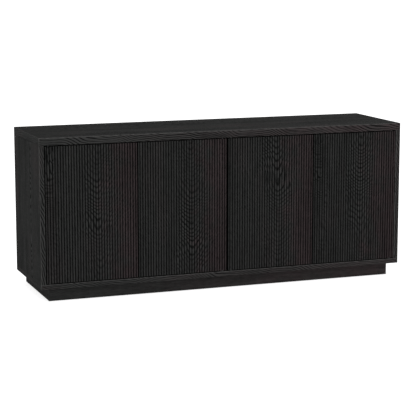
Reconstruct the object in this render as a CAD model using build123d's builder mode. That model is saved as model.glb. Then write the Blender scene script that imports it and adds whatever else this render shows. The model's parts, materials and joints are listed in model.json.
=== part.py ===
from build123d import *
import os

# Low sideboard buffet in black-stained oak: a plain carcass on a recessed plinth, closed by
# four fluted doors that turn on concealed pivot pins and are released by push latches.
#
# Millimetres, +Z up. The origin is on the floor, in the middle of the footprint.
# +X is the viewer's right, and the doors face -Y.

os.makedirs("parts", exist_ok=True)

# ---------------------------------------------------------------- driving dimensions
width = 1473.0
depth = 400.0
height = 619.0

top_thickness = 28.0
bottom_thickness = 19.0
upright_thickness = 18.0
shelf_thickness = 18.0
back_thickness = 6.0
door_thickness = 18.0
board_ease = 1.2  # radius on the outer edges of the carcass boards

plinth_height = 52.0
plinth_thickness = 18.0
plinth_side_inset = 36.0
plinth_front_setback = 30.0
plinth_rear_setback = 1.5
block_size = 40.0
glide_height = 2.0

side_gap = 3.5  # beside each door
centre_gap = 7.0  # between the two middle doors
end_gap = 4.0  # above and below the doors

flute_count = 34
flute_width = 4.0
flute_depth = 4.4
flute_margin = 7.2  # from a door's edge to the middle of its first flute
flute_ease = 0.8  # radius on the corners of the ridges

back_rebate = 9.0  # how far the back panels lap onto the boards round them
back_joint_gap = 0.5
partition_setback = 8.0  # behind the doors, clear of their swinging corners
shelf_setback = 27.0  # behind the doors
shelf_slack = 1.0

pin_radius = 3.0
pin_inset = 14.0  # from the door's hinge edge to the pivot axis
pin_in_door = 30.0
pin_in_board = 10.0
top_pin_relief = 1.0  # the upper pin is this much shorter in its board
pin_chamfer = 0.6
running_clearance = 0.05
fixed_clearance = 0.03
blind_allowance = 0.5  # how much deeper a blind bore is than what goes into it
bush_radius = 4.5
bush_flange_radius = 6.0
bush_flange_height = 1.5  # sunk flush into the board
bush_depth = 12.0
thrust_collar_radius = 4.5

cam_radius = 7.5
cam_depth = 12.5
cam_setback = 34.0  # from the end of an upright to the middle of its cam
bolt_bore_radius = 3.5
bolt_thread_radius = 2.5
bolt_thread_length = 11.0
dowel_radius = 4.0
dowel_chamfer = 0.8
dowel_in_upright = 18.0
dowel_in_board = 12.0
cam_ys = (-140.0, 140.0)
dowel_ys = (-70.0, 70.0)

shelf_hole_radius = 2.5
shelf_hole_depth = 8.0
shelf_hole_pitch = 32.0
shelf_hole_drop = 3.0  # from the shelf's underside down to the middle of its pins
shelf_pin_ys = (-125.0, 150.0)

latch_inset = 25.0  # from the door's free edge to the latch
latch_width = 14.0
latch_height = 18.0
latch_length = 50.0
latch_front_gap = 6.0  # from the door's back to the latch housing
latch_wall = 3.0
latch_end_wall = 4.0
latch_corner = 3.0
latch_ear_span = 34.0
latch_ear_length = 30.0
latch_ear_thickness = 3.0
latch_screw_offset = 12.0
plunger_radius = 4.0
plunger_drop = 11.0  # from the top board down to the plunger's axis
plunger_reach = 4.6  # how far the nose stands out of the housing
plunger_clearance = 0.08
magnet_radius = 3.0
magnet_length = 2.0

strike_width = 16.0
strike_height = 21.0
strike_thickness = 1.0
strike_corner = 2.0
strike_drop = 1.0  # from the door's top edge down to the plate
strike_screw_drop = 6.5  # from the plate's middle down to its screw

stop_size = (60.0, 12.0, 10.0)
stop_pad_thickness = 2.0
stop_pad_radius = 4.0
stop_pad_offset = 15.0
stop_pad_drop = 0.5  # of a pad below the middle of its stop
stop_pad_chamfer = 0.6
stop_chamfer = 1.0
stop_screw_offset = 23.0

# ---------------------------------------------------------------- places that follow from them
front_y = -depth / 2
back_y = depth / 2
floor_z = plinth_height + bottom_thickness
ceiling_z = height - top_thickness
opening_height = ceiling_z - floor_z
middle_z = (floor_z + ceiling_z) / 2
side_inner_x = width / 2 - upright_thickness
side_middle_x = width / 2 - upright_thickness / 2
partition_face_x = upright_thickness / 2
partition_front_y = front_y + door_thickness + partition_setback
back_panel_y = back_y - back_thickness

door_width = (side_inner_x - centre_gap / 2 - 2 * side_gap) / 2
door_bottom_z = floor_z + end_gap
door_top_z = ceiling_z - end_gap
door_back_y = front_y + door_thickness
door_middle_y = front_y + door_thickness / 2
flute_pitch = (door_width - 2 * flute_margin) / (flute_count - 1)
inner_door_x = centre_gap / 2 + door_width / 2
outer_door_x = side_inner_x - side_gap - door_width / 2

# Each door: its name, the x of its middle, and the side of it that the hinge is on.
doors = (
    ("left_outer", -outer_door_x, -1),
    ("left_inner", -inner_door_x, 1),
    ("right_inner", inner_door_x, -1),
    ("right_outer", outer_door_x, 1),
)
pin_xs = [x + hinge * (door_width / 2 - pin_inset) for _, x, hinge in doors]
latch_xs = [x - hinge * (door_width / 2 - latch_inset) for _, x, hinge in doors]

latch_front_y = door_back_y + latch_front_gap
latch_middle_y = latch_front_y + latch_length / 2
plunger_z = ceiling_z - plunger_drop
strike_z = door_top_z - strike_drop - strike_height / 2
strike_screw_z = strike_z - strike_screw_drop
stop_xs = (-(inner_door_x + outer_door_x) / 2, (inner_door_x + outer_door_x) / 2)

upright_xs = (-side_middle_x, 0.0, side_middle_x)
bolt_places = [(x, y) for x in upright_xs for y in cam_ys]
dowel_places = [(x, y) for x in upright_xs for y in dowel_ys]
bush_places = [(x, door_middle_y) for x in pin_xs]


# ---------------------------------------------------------------- fasteners used in many places
def screw_blank(head_radius, shank_radius, length, clearance=0.0):
    """A countersunk screw's outline: its head's face is at the origin and its point down -Z."""
    cone_depth = head_radius - shank_radius
    with BuildPart() as blank:
        with BuildSketch(Plane.XZ):
            with BuildLine():
                Polyline(
                    (0, clearance),
                    (head_radius + clearance, clearance),
                    (shank_radius + clearance, -cone_depth),
                    (shank_radius + clearance, shank_radius - length),
                    (0, -length - clearance),
                    close=True,
                )
            make_face()
        revolve(axis=Axis.Z)
    return blank.part


def countersunk_screw(head_radius, shank_radius, length):
    """The screw itself, with a cross recess in its head."""
    with BuildPart() as screw:
        add(screw_blank(head_radius, shank_radius, length))
        with BuildSketch():
            Rectangle(1.2 * head_radius, 0.3 * head_radius)
            Rectangle(0.3 * head_radius, 1.2 * head_radius)
        extrude(amount=-0.35 * head_radius, mode=Mode.SUBTRACT)
    return screw.part


def screw_set(size):
    """A screw and the pocket that it sits in."""
    return countersunk_screw(*size), screw_blank(*size, clearance=fixed_clearance)


back_screw, back_screw_pocket = screw_set((3.2, 1.6, 20.0))
latch_screw, latch_screw_pocket = screw_set((3.0, 1.5, 14.0))
strike_screw, strike_screw_pocket = screw_set((2.6, 1.3, 11.0))
stop_screw, stop_screw_pocket = screw_set((3.2, 1.6, 20.0))
plinth_screw, plinth_screw_pocket = screw_set((4.0, 2.0, 42.0))

# Orientations of a screw, by the way its point goes.
point_forward = (-90, 0, 0)  # towards -Y
point_up = (180, 0, 0)

back_screw_zs = (floor_z + 40, middle_z, ceiling_z - 40)
back_screw_xs = (-600, -365, -130, 130, 365, 600)
side_lap_x = side_inner_x + back_rebate / 2
partition_screw_x = 5.0
side_screws = [
    Location((x, back_y, z), point_forward)
    for x in (-side_lap_x, side_lap_x)
    for z in back_screw_zs
]
partition_screws = [
    Location((x, back_y, z), point_forward)
    for x in (-partition_screw_x, partition_screw_x)
    for z in back_screw_zs
]
top_screws = [Location((x, back_y, ceiling_z + back_rebate / 2), point_forward) for x in back_screw_xs]
bottom_screws = [Location((x, back_y, floor_z - back_rebate / 2), point_forward) for x in back_screw_xs]
back_screws = side_screws + partition_screws + top_screws + bottom_screws

latch_screws = [
    Location((x + offset, latch_middle_y, ceiling_z - latch_ear_thickness), point_up)
    for x in latch_xs
    for offset in (-latch_screw_offset, latch_screw_offset)
]
stop_top_z = floor_z + stop_size[2]
stop_middle_y = latch_front_y + stop_size[1] / 2
stop_screws = [
    Location((x + offset, stop_middle_y, stop_top_z))
    for x in stop_xs
    for offset in (-stop_screw_offset, stop_screw_offset)
]

# ---------------------------------------------------------------- plinth layout
plinth_x = width / 2 - plinth_side_inset
plinth_front_y = front_y + plinth_front_setback
plinth_back_y = back_y - plinth_rear_setback
inner_plinth_x = plinth_x - plinth_thickness
inner_plinth_front_y = plinth_front_y + plinth_thickness
inner_plinth_back_y = plinth_back_y - plinth_thickness
rail_height = plinth_height - glide_height

block_xs = (-(inner_plinth_x - block_size / 2), inner_plinth_x - block_size / 2)
block_ys = (inner_plinth_front_y + block_size / 2, inner_plinth_back_y - block_size / 2)
block_places = [(x, y) for x in block_xs for y in block_ys]
glide_shift = 8.0  # of a glide towards its corner of the plinth
block_screw_shift = 10.0  # of a block's screw the other way
block_screw_z = 20.0  # the screw's head, at the top of its counterbore
block_counterbore_radius = 4.6
plinth_middle_y = (block_ys[0] + block_ys[1]) / 2


def towards_corner(shift):
    """The middle of each corner block, moved by shift towards its corner of the plinth."""
    return [
        (x + shift * (1 if x > 0 else -1), y + shift * (1 if y > plinth_middle_y else -1))
        for x, y in block_places
    ]


block_glides = towards_corner(glide_shift)
brace_glides = [(0, block_ys[0]), (0, block_ys[1])]
block_screws = [Location((x, y, block_screw_z), point_up) for x, y in towards_corner(-block_screw_shift)]


# ---------------------------------------------------------------- top and bottom boards
def bores(z, places, radius, length):
    """Blind round holes from the level z, down if length is negative, cut from the open part."""
    with BuildSketch(Plane.XY.offset(z)) as circles:
        with Locations(*places):
            Circle(radius)
    extrude(circles.sketch, amount=length, mode=Mode.SUBTRACT)


def drill_board(face_z, into):
    """Holes for cam bolts, dowels and pivot bushes in the face of a board. into is 1 or -1."""
    bolt_bore_length = bolt_thread_length + blind_allowance
    bores(face_z, bolt_places, bolt_thread_radius + fixed_clearance, into * bolt_bore_length)
    bores(face_z, dowel_places, dowel_radius + fixed_clearance, into * (dowel_in_board + blind_allowance))
    bores(face_z, bush_places, bush_radius + fixed_clearance, into * (bush_depth + blind_allowance))
    bores(face_z, bush_places, bush_flange_radius + fixed_clearance, into * bush_flange_height)


def rebate_board(face_z, into):
    """The step along a board's rear edge that the back panels lie in."""
    with BuildSketch(Plane.XY.offset(face_z)) as step:
        with Locations((0, back_y - back_thickness / 2)):
            Rectangle(2 * (side_inner_x + back_rebate), back_thickness)
    extrude(step.sketch, amount=into * back_rebate, mode=Mode.SUBTRACT)


with BuildPart() as top_panel:
    with BuildSketch(Plane.XY.offset(ceiling_z)):
        Rectangle(width, depth)
    extrude(amount=top_thickness)
    fillet(top_panel.edges(), board_ease)
    rebate_board(ceiling_z, 1)
    drill_board(ceiling_z, 1)
    with Locations(*top_screws):
        add(back_screw_pocket, mode=Mode.SUBTRACT)
    with Locations(*latch_screws):
        add(latch_screw_pocket, mode=Mode.SUBTRACT)
top_panel.part.label = "top_panel"
export_step(top_panel.part, "parts/top_panel.step")

with BuildPart() as bottom_panel:
    with BuildSketch(Plane.XY.offset(plinth_height)):
        Rectangle(width, depth)
    extrude(amount=bottom_thickness)
    fillet(bottom_panel.edges(), board_ease)
    rebate_board(floor_z, -1)
    drill_board(floor_z, -1)
    with Locations(*bottom_screws):
        add(back_screw_pocket, mode=Mode.SUBTRACT)
    with Locations(*stop_screws):
        add(stop_screw_pocket, mode=Mode.SUBTRACT)
    with Locations(*block_screws):
        add(plinth_screw_pocket, mode=Mode.SUBTRACT)
bottom_panel.part.label = "bottom_panel"
export_step(bottom_panel.part, "parts/bottom_panel.step")


# ---------------------------------------------------------------- upright boards
cam_zs = (floor_z + cam_setback, ceiling_z - cam_setback)


def drill_upright(middle_x, cam_face_x, cam_into):
    """End bores for cam bolts and dowels, and the cam pockets in one face. cam_into is 1 or -1."""
    dowel_bore_depth = dowel_in_upright + blind_allowance
    for z, into in ((floor_z, 1), (ceiling_z, -1)):
        bores(z, [(middle_x, y) for y in cam_ys], bolt_bore_radius, into * cam_setback)
        bores(z, [(middle_x, y) for y in dowel_ys], dowel_radius + fixed_clearance, into * dowel_bore_depth)
    with BuildSketch(Plane.YZ.offset(cam_face_x)) as pockets:
        with Locations(*[(y, z) for y in cam_ys for z in cam_zs]):
            Circle(cam_radius + fixed_clearance)
    extrude(pockets.sketch, amount=cam_into * (cam_depth + blind_allowance), mode=Mode.SUBTRACT)


shelf_under_z = middle_z - shelf_thickness / 2
shelf_hole_z = shelf_under_z - shelf_hole_drop
shelf_hole_zs = [shelf_hole_z + step * shelf_hole_pitch for step in range(-2, 3)]


def drill_shelf_holes(face_x, into):
    """Two rows of blind shelf pin holes in one face of an upright. into is 1 or -1."""
    with BuildSketch(Plane.YZ.offset(face_x)) as holes:
        with Locations(*[(y, z) for y in shelf_pin_ys for z in shelf_hole_zs]):
            Circle(shelf_hole_radius + fixed_clearance)
    extrude(holes.sketch, amount=into * shelf_hole_depth, mode=Mode.SUBTRACT)


for hand, side in (("left", -1), ("right", 1)):
    with BuildPart() as side_panel:
        with BuildSketch(Plane.XY.offset(floor_z)):
            with Locations((side * side_middle_x, 0)):
                Rectangle(upright_thickness, depth)
        extrude(amount=opening_height)
        fillet(side_panel.edges().filter_by(Axis.Z), board_ease)
        with BuildSketch(Plane.XY.offset(floor_z)):
            with Locations((side * side_lap_x, back_y - back_thickness / 2)):
                Rectangle(back_rebate, back_thickness)
        extrude(amount=opening_height, mode=Mode.SUBTRACT)
        drill_upright(side * side_middle_x, side * side_inner_x, side)
        drill_shelf_holes(side * side_inner_x, side)
        with Locations(*side_screws):
            add(back_screw_pocket, mode=Mode.SUBTRACT)
    side_panel.part.label = f"{hand}_side_panel"
    export_step(side_panel.part, f"parts/{hand}_side_panel.step")

with BuildPart() as centre_partition:
    with BuildSketch(Plane.XY.offset(floor_z)):
        with Locations((0, (partition_front_y + back_panel_y) / 2)):
            Rectangle(upright_thickness, back_panel_y - partition_front_y)
    extrude(amount=opening_height)
    drill_upright(0, -partition_face_x, 1)
    drill_shelf_holes(-partition_face_x, 1)
    drill_shelf_holes(partition_face_x, -1)
    with Locations(*partition_screws):
        add(back_screw_pocket, mode=Mode.SUBTRACT)
centre_partition.part.label = "centre_partition"
export_step(centre_partition.part, "parts/centre_partition.step")

# ---------------------------------------------------------------- back panels and shelves
back_panel_width = side_inner_x + back_rebate - back_joint_gap / 2
back_panel_x = (back_joint_gap + back_panel_width) / 2
for hand, side in (("left", -1), ("right", 1)):
    with BuildPart() as back_panel:
        with BuildSketch(Plane.XY.offset(floor_z - back_rebate)):
            with Locations((side * back_panel_x, back_y - back_thickness / 2)):
                Rectangle(back_panel_width, back_thickness)
        extrude(amount=opening_height + 2 * back_rebate)
        with Locations(*back_screws):
            add(back_screw_pocket, mode=Mode.SUBTRACT)
    back_panel.part.label = f"back_panel_{hand}"
    export_step(back_panel.part, f"parts/back_panel_{hand}.step")

with BuildPart() as back_panel_screws:
    with Locations(*back_screws):
        add(back_screw)
back_panel_screws.part.label = "back_panel_screws"
export_step(back_panel_screws.part, "parts/back_panel_screws.step")

shelf_front_y = door_back_y + shelf_setback
shelf_back_y = back_panel_y - shelf_slack
shelf_width = side_inner_x - partition_face_x - 2 * shelf_slack
shelf_middle_x = (side_inner_x + partition_face_x) / 2
shelf_middle_y = (shelf_front_y + shelf_back_y) / 2
for hand, side in (("left", -1), ("right", 1)):
    with BuildPart() as shelf:
        with BuildSketch(Plane.XY.offset(shelf_under_z)):
            with Locations((side * shelf_middle_x, shelf_middle_y)):
                Rectangle(shelf_width, shelf_back_y - shelf_front_y)
        extrude(amount=shelf_thickness)
        fillet(shelf.edges().group_by(Axis.Y)[0].filter_by(Axis.X), board_ease)
    shelf.part.label = f"{hand}_shelf"
    export_step(shelf.part, f"parts/{hand}_shelf.step")

# A shelf pin in its own frame: the board's face is the YZ plane and the tongue stands out along +X.
pin_flange_thickness = 0.8
pin_flange_size = (10.0, 10.0)
pin_tongue_length = 8.0
pin_tongue_thickness = 2.0
pin_tongue_inset = 1.5  # of the tongue from each side of its flange, and the flange's corners
with BuildPart() as shelf_pin:
    with BuildSketch(Plane.YZ):
        with Locations((0, shelf_hole_z - shelf_under_z)):
            Circle(shelf_hole_radius)
    extrude(amount=-(shelf_hole_depth - blind_allowance))
    with BuildSketch(Plane.YZ):
        with Locations((0, -pin_flange_size[1] / 2)):
            RectangleRounded(*pin_flange_size, pin_tongue_inset)
    extrude(amount=pin_flange_thickness)
    with BuildSketch(Plane.YZ):
        with Locations((0, -pin_tongue_thickness / 2)):
            Rectangle(pin_flange_size[0] - 2 * pin_tongue_inset, pin_tongue_thickness)
    extrude(amount=pin_tongue_length)

shelf_pin_faces = ((-side_inner_x, 0), (-partition_face_x, 180), (partition_face_x, 0), (side_inner_x, 180))
with BuildPart() as shelf_pins:
    with Locations(*[
        Location((x, y, shelf_under_z), (0, 0, turn))
        for x, turn in shelf_pin_faces
        for y in shelf_pin_ys
    ]):
        add(shelf_pin.part)
shelf_pins.part.label = "shelf_pins"
export_step(shelf_pins.part, "parts/shelf_pins.step")

# ---------------------------------------------------------------- knock-down fittings
# A cam lock in its own frame: its face is the XY plane, its body down -Z, the bolt enters from +Y.
bolt_axis_depth = upright_thickness / 2
cam_slot_width = 7.0
cam_slot_reach = 4.0  # past the middle
cam_slot_overrun = 1.0  # out through the rim
cross_size = (7.0, 1.6)
cross_depth = 2.0
with BuildPart() as cam_lock:
    with BuildSketch():
        Circle(cam_radius)
    extrude(amount=-cam_depth)
    with BuildSketch(Plane.XY.offset(-cam_depth)):
        with Locations((0, (cam_radius + cam_slot_overrun - cam_slot_reach) / 2)):
            Rectangle(cam_slot_width, cam_radius + cam_slot_overrun + cam_slot_reach)
    extrude(amount=cam_depth - bolt_axis_depth + cam_slot_width / 2, mode=Mode.SUBTRACT)
    with BuildSketch():
        Rectangle(*cross_size)
        Rectangle(*reversed(cross_size))
    extrude(amount=-cross_depth, mode=Mode.SUBTRACT)

# A cam bolt in its own frame: the joint is the XY plane, the thread goes up and the head down.
bolt_sleeve_radius = 3.3
bolt_sleeve_length = 25.0
bolt_neck_radius = 2.0
bolt_head_radius = 3.0
bolt_head_top = -cam_setback + 2.0
bolt_head_end = -cam_setback - 2.0
cam_bolt_outline = (
    (0, bolt_thread_length),
    (bolt_thread_radius, bolt_thread_length),
    (bolt_thread_radius, 0),
    (bolt_sleeve_radius, 0),
    (bolt_sleeve_radius, -bolt_sleeve_length),
    (bolt_neck_radius, -bolt_sleeve_length),
    (bolt_neck_radius, bolt_head_top),
    (bolt_head_radius, bolt_head_top),
    (bolt_head_radius, bolt_head_end),
    (0, bolt_head_end),
)
with BuildPart() as cam_bolt:
    with BuildSketch(Plane.XZ):
        with BuildLine():
            Polyline(*cam_bolt_outline, close=True)
        make_face()
    revolve(axis=Axis.Z)

with BuildPart() as dowel:
    with BuildSketch(Plane.XY.offset(-dowel_in_upright)):
        Circle(dowel_radius)
    extrude(amount=dowel_in_upright + dowel_in_board)
    chamfer(dowel.edges(), dowel_chamfer)

joint_ends = ((ceiling_z, 1), (floor_z, -1))  # the joint's level and the way its board lies
cam_faces = ((-side_inner_x, 1), (-partition_face_x, -1), (side_inner_x, -1))
cam_places = [
    Plane(
        origin=(x, y, z - up * cam_setback),
        x_dir=(0, up * facing, 0),
        z_dir=(facing, 0, 0),
    ).location
    for x, facing in cam_faces
    for y in cam_ys
    for z, up in joint_ends
]


def joint_places(places):
    """Locations at both ends of the uprights, with +Z towards the board at that end."""
    return [Location((x, y, z), (0 if up > 0 else 180, 0, 0)) for x, y in places for z, up in joint_ends]


with BuildPart() as cam_locks:
    with Locations(*cam_places):
        add(cam_lock.part)
cam_locks.part.label = "cam_locks"
export_step(cam_locks.part, "parts/cam_locks.step")

with BuildPart() as cam_bolts:
    with Locations(*joint_places(bolt_places)):
        add(cam_bolt.part)
cam_bolts.part.label = "cam_bolts"
export_step(cam_bolts.part, "parts/cam_bolts.step")

with BuildPart() as dowels:
    with Locations(*joint_places(dowel_places)):
        add(dowel.part)
dowels.part.label = "dowels"
export_step(dowels.part, "parts/dowels.step")

# ---------------------------------------------------------------- plinth
left_front, right_front = (-plinth_x, plinth_front_y), (plinth_x, plinth_front_y)
left_back, right_back = (-plinth_x, plinth_back_y), (plinth_x, plinth_back_y)
inner_left_front = (-inner_plinth_x, inner_plinth_front_y)
inner_right_front = (inner_plinth_x, inner_plinth_front_y)
inner_left_back = (-inner_plinth_x, inner_plinth_back_y)
inner_right_back = (inner_plinth_x, inner_plinth_back_y)
rail_outlines = {
    "front": (left_front, right_front, inner_right_front, inner_left_front),
    "rear": (right_back, left_back, inner_left_back, inner_right_back),
    "left": (left_back, left_front, inner_left_front, inner_left_back),
    "right": (right_front, right_back, inner_right_back, inner_right_front),
}
for place, outline in rail_outlines.items():
    with BuildPart() as rail:
        with BuildSketch(Plane.XY.offset(glide_height)):
            with BuildLine():
                Polyline(*outline, close=True)
            make_face()
        extrude(amount=rail_height)
    rail.part.label = f"plinth_{place}_rail"
    export_step(rail.part, f"parts/plinth_{place}_rail.step")

glide_radius = 8.5
glide_stem_radius = 2.5
glide_stem_length = 12.0
glide_chamfer = 0.5
glide_bore_radius = glide_stem_radius + fixed_clearance
glide_bore_length = glide_stem_length + blind_allowance
with BuildPart() as plinth_centre_brace:
    with BuildSketch(Plane.XY.offset(glide_height)):
        with Locations((0, (inner_plinth_front_y + inner_plinth_back_y) / 2)):
            Rectangle(plinth_thickness, inner_plinth_back_y - inner_plinth_front_y)
    extrude(amount=rail_height)
    bores(glide_height, brace_glides, glide_bore_radius, glide_bore_length)
plinth_centre_brace.part.label = "plinth_centre_brace"
export_step(plinth_centre_brace.part, "parts/plinth_centre_brace.step")

with BuildPart() as plinth_corner_blocks:
    with BuildSketch(Plane.XY.offset(glide_height)):
        with Locations(*block_places):
            Rectangle(block_size, block_size)
    extrude(amount=rail_height)
    bores(glide_height, block_glides, glide_bore_radius, glide_bore_length)
    counterbore_places = towards_corner(-block_screw_shift)
    bores(glide_height, counterbore_places, block_counterbore_radius, block_screw_z - glide_height)
    with Locations(*block_screws):
        add(plinth_screw_pocket, mode=Mode.SUBTRACT)
plinth_corner_blocks.part.label = "plinth_corner_blocks"
export_step(plinth_corner_blocks.part, "parts/plinth_corner_blocks.step")

with BuildPart() as plinth_screws:
    with Locations(*block_screws):
        add(plinth_screw)
plinth_screws.part.label = "plinth_screws"
export_step(plinth_screws.part, "parts/plinth_screws.step")

with BuildPart() as glides:
    with BuildSketch():
        with Locations(*block_glides, *brace_glides):
            Circle(glide_radius)
    extrude(amount=glide_height)
    chamfer(glides.edges().group_by(Axis.Z)[0], glide_chamfer)
    with BuildSketch(Plane.XY.offset(glide_height)):
        with Locations(*block_glides, *brace_glides):
            Circle(glide_stem_radius)
    extrude(amount=glide_stem_length)
glides.part.label = "glides"
export_step(glides.part, "parts/glides.step")

# ---------------------------------------------------------------- pivot bushes in the boards
# A bush in its own frame: its flange's face is the XY plane and its barrel goes down -Z.
with BuildPart() as bush:
    with BuildSketch():
        Circle(bush_flange_radius)
    extrude(amount=-bush_flange_height)
    with BuildSketch():
        Circle(bush_radius)
    extrude(amount=-bush_depth)
    with BuildSketch():
        Circle(pin_radius + running_clearance)
    extrude(amount=-bush_depth, mode=Mode.SUBTRACT)

with BuildPart() as bottom_pivot_bushes:
    with Locations(*[Location((x, y, floor_z)) for x, y in bush_places]):
        add(bush.part)
bottom_pivot_bushes.part.label = "bottom_pivot_bushes"
export_step(bottom_pivot_bushes.part, "parts/bottom_pivot_bushes.step")

with BuildPart() as top_pivot_bushes:
    with Locations(*[Location((x, y, ceiling_z), (180, 0, 0)) for x, y in bush_places]):
        add(bush.part)
top_pivot_bushes.part.label = "top_pivot_bushes"
export_step(top_pivot_bushes.part, "parts/top_pivot_bushes.step")

# ---------------------------------------------------------------- door stops
with BuildPart() as door_stops:
    with BuildSketch(Plane.XY.offset(floor_z)):
        with Locations(*[(x, stop_middle_y) for x in stop_xs]):
            Rectangle(stop_size[0], stop_size[1])
    extrude(amount=stop_size[2])
    chamfer(door_stops.edges().group_by(Axis.Z)[-1], stop_chamfer)
    with Locations(*stop_screws):
        add(stop_screw_pocket, mode=Mode.SUBTRACT)
door_stops.part.label = "door_stops"
export_step(door_stops.part, "parts/door_stops.step")

with BuildPart() as stop_pads:
    with BuildSketch(Plane.XZ.offset(-latch_front_y)):
        with Locations(*[
            (x + offset, floor_z + stop_size[2] / 2 - stop_pad_drop)
            for x in stop_xs
            for offset in (-stop_pad_offset, stop_pad_offset)
        ]):
            Circle(stop_pad_radius)
    extrude(amount=stop_pad_thickness)
    chamfer(stop_pads.edges().group_by(Axis.Y)[0], stop_pad_chamfer)
stop_pads.part.label = "stop_pads"
export_step(stop_pads.part, "parts/stop_pads.step")

with BuildPart() as stop_screw_group:
    with Locations(*stop_screws):
        add(stop_screw)
stop_screw_group.part.label = "stop_screws"
export_step(stop_screw_group.part, "parts/stop_screws.step")

# ---------------------------------------------------------------- push latches
# A latch in its own frame: the housing's front is the XY plane, its body up +Z, its axis the
# plunger's. Local +Y is towards the top board.
housing_top = plunger_drop
chamber_radius = 5.5
chamber_end = latch_length - latch_end_wall
with BuildPart() as latch_housing:
    with BuildSketch():
        with Locations((0, housing_top - latch_height / 2)):
            Rectangle(latch_width, latch_height)
    extrude(amount=latch_length)
    fillet(latch_housing.edges().filter_by(Axis.Z).group_by(Axis.Y)[0], latch_corner)
    with BuildSketch(Plane.XY.offset((latch_length - latch_ear_length) / 2)):
        with Locations((0, housing_top - latch_ear_thickness / 2)):
            Rectangle(latch_ear_span, latch_ear_thickness)
    extrude(amount=latch_ear_length)
    with BuildSketch():
        Circle(plunger_radius + plunger_clearance)
    extrude(amount=latch_wall, mode=Mode.SUBTRACT)
    with BuildSketch(Plane.XY.offset(latch_wall)):
        Circle(chamber_radius)
    extrude(amount=chamber_end - latch_wall, mode=Mode.SUBTRACT)


def latch_place(x):
    """The latch's own frame set under the top board, facing the doors."""
    return Plane(origin=(x, latch_front_y, plunger_z), x_dir=(-1, 0, 0), z_dir=(0, 1, 0)).location


with BuildPart() as push_latch_housings:
    with Locations(*[latch_place(x) for x in latch_xs]):
        add(latch_housing.part)
    with Locations(*latch_screws):
        add(latch_screw_pocket, mode=Mode.SUBTRACT)
push_latch_housings.part.label = "push_latch_housings"
export_step(push_latch_housings.part, "parts/push_latch_housings.step")

with BuildPart() as push_latch_screws:
    with Locations(*latch_screws):
        add(latch_screw)
push_latch_screws.part.label = "push_latch_screws"
export_step(push_latch_screws.part, "parts/push_latch_screws.step")

plunger_end_float = 0.1
plunger_collar_length = 4.0
plunger_collar_radius = chamber_radius - 0.3
nose_chamfer = 0.5
collar_start = latch_wall + plunger_end_float
collar_end = collar_start + plunger_collar_length
tail_end = 24.0
tail_radius = 2.2
plunger_outline = (
    (0, -plunger_reach + magnet_length),
    (magnet_radius + fixed_clearance, -plunger_reach + magnet_length),
    (magnet_radius + fixed_clearance, -plunger_reach),
    (plunger_radius - nose_chamfer, -plunger_reach),
    (plunger_radius, -plunger_reach + nose_chamfer),
    (plunger_radius, collar_start),
    (plunger_collar_radius, collar_start),
    (plunger_collar_radius, collar_end),
    (tail_radius, collar_end),
    (tail_radius, tail_end),
    (0, tail_end),
)
with BuildPart() as plunger:
    with BuildSketch(Plane.XZ):
        with BuildLine():
            Polyline(*plunger_outline, close=True)
        make_face()
    revolve(axis=Axis.Z)

with BuildPart() as magnet:
    with BuildSketch(Plane.XY.offset(-plunger_reach)):
        Circle(magnet_radius)
    extrude(amount=magnet_length)

spring_wire_radius = 0.6
spring_radius = 3.8
spring_end_float = 0.2
spring_start = collar_end + spring_wire_radius + spring_end_float
spring_end = chamber_end - spring_wire_radius - spring_end_float
spring_turns = 6
spring_height = spring_end - spring_start
with BuildPart() as spring:
    with BuildLine(Plane.XY.offset(spring_start)) as coil:
        Helix(pitch=spring_height / spring_turns, height=spring_height, radius=spring_radius)
    with BuildSketch(Plane(origin=coil.line @ 0, z_dir=coil.line % 0)):
        Circle(spring_wire_radius)
    sweep(is_frenet=True)

latch_pieces = (("plunger", plunger), ("magnet", magnet), ("spring", spring))
for (door_name, _, _), latch_x in zip(doors, latch_xs):
    for piece_name, piece in latch_pieces:
        with BuildPart() as latch_piece:
            with Locations(latch_place(latch_x)):
                add(piece.part)
        latch_piece.part.label = f"{door_name}_latch_{piece_name}"
        export_step(latch_piece.part, f"parts/{door_name}_latch_{piece_name}.step")

# ---------------------------------------------------------------- doors and what they carry
# The pivot pins in their own frame: the pivot axis is Z, at the row's own heights.
bottom_pin_end_z = floor_z - pin_in_board
top_pin_end_z = ceiling_z + pin_in_board - top_pin_relief
collar_under_z = floor_z + running_clearance
pin_bore_radius = pin_radius + fixed_clearance
with BuildPart() as pivot_pins:
    with BuildSketch(Plane.XY.offset(bottom_pin_end_z)):
        Circle(pin_radius)
    extrude(amount=door_bottom_z + pin_in_door - bottom_pin_end_z)
    with BuildSketch(Plane.XY.offset(collar_under_z)):
        Circle(thrust_collar_radius)
    extrude(amount=door_bottom_z - collar_under_z)
    with BuildSketch(Plane.XY.offset(door_top_z - pin_in_door)):
        Circle(pin_radius)
    extrude(amount=pin_in_door + top_pin_end_z - door_top_z)
    chamfer(pivot_pins.edges().group_by(Axis.Z)[0], pin_chamfer)
    chamfer(pivot_pins.edges().group_by(Axis.Z)[-1], pin_chamfer)

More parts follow.
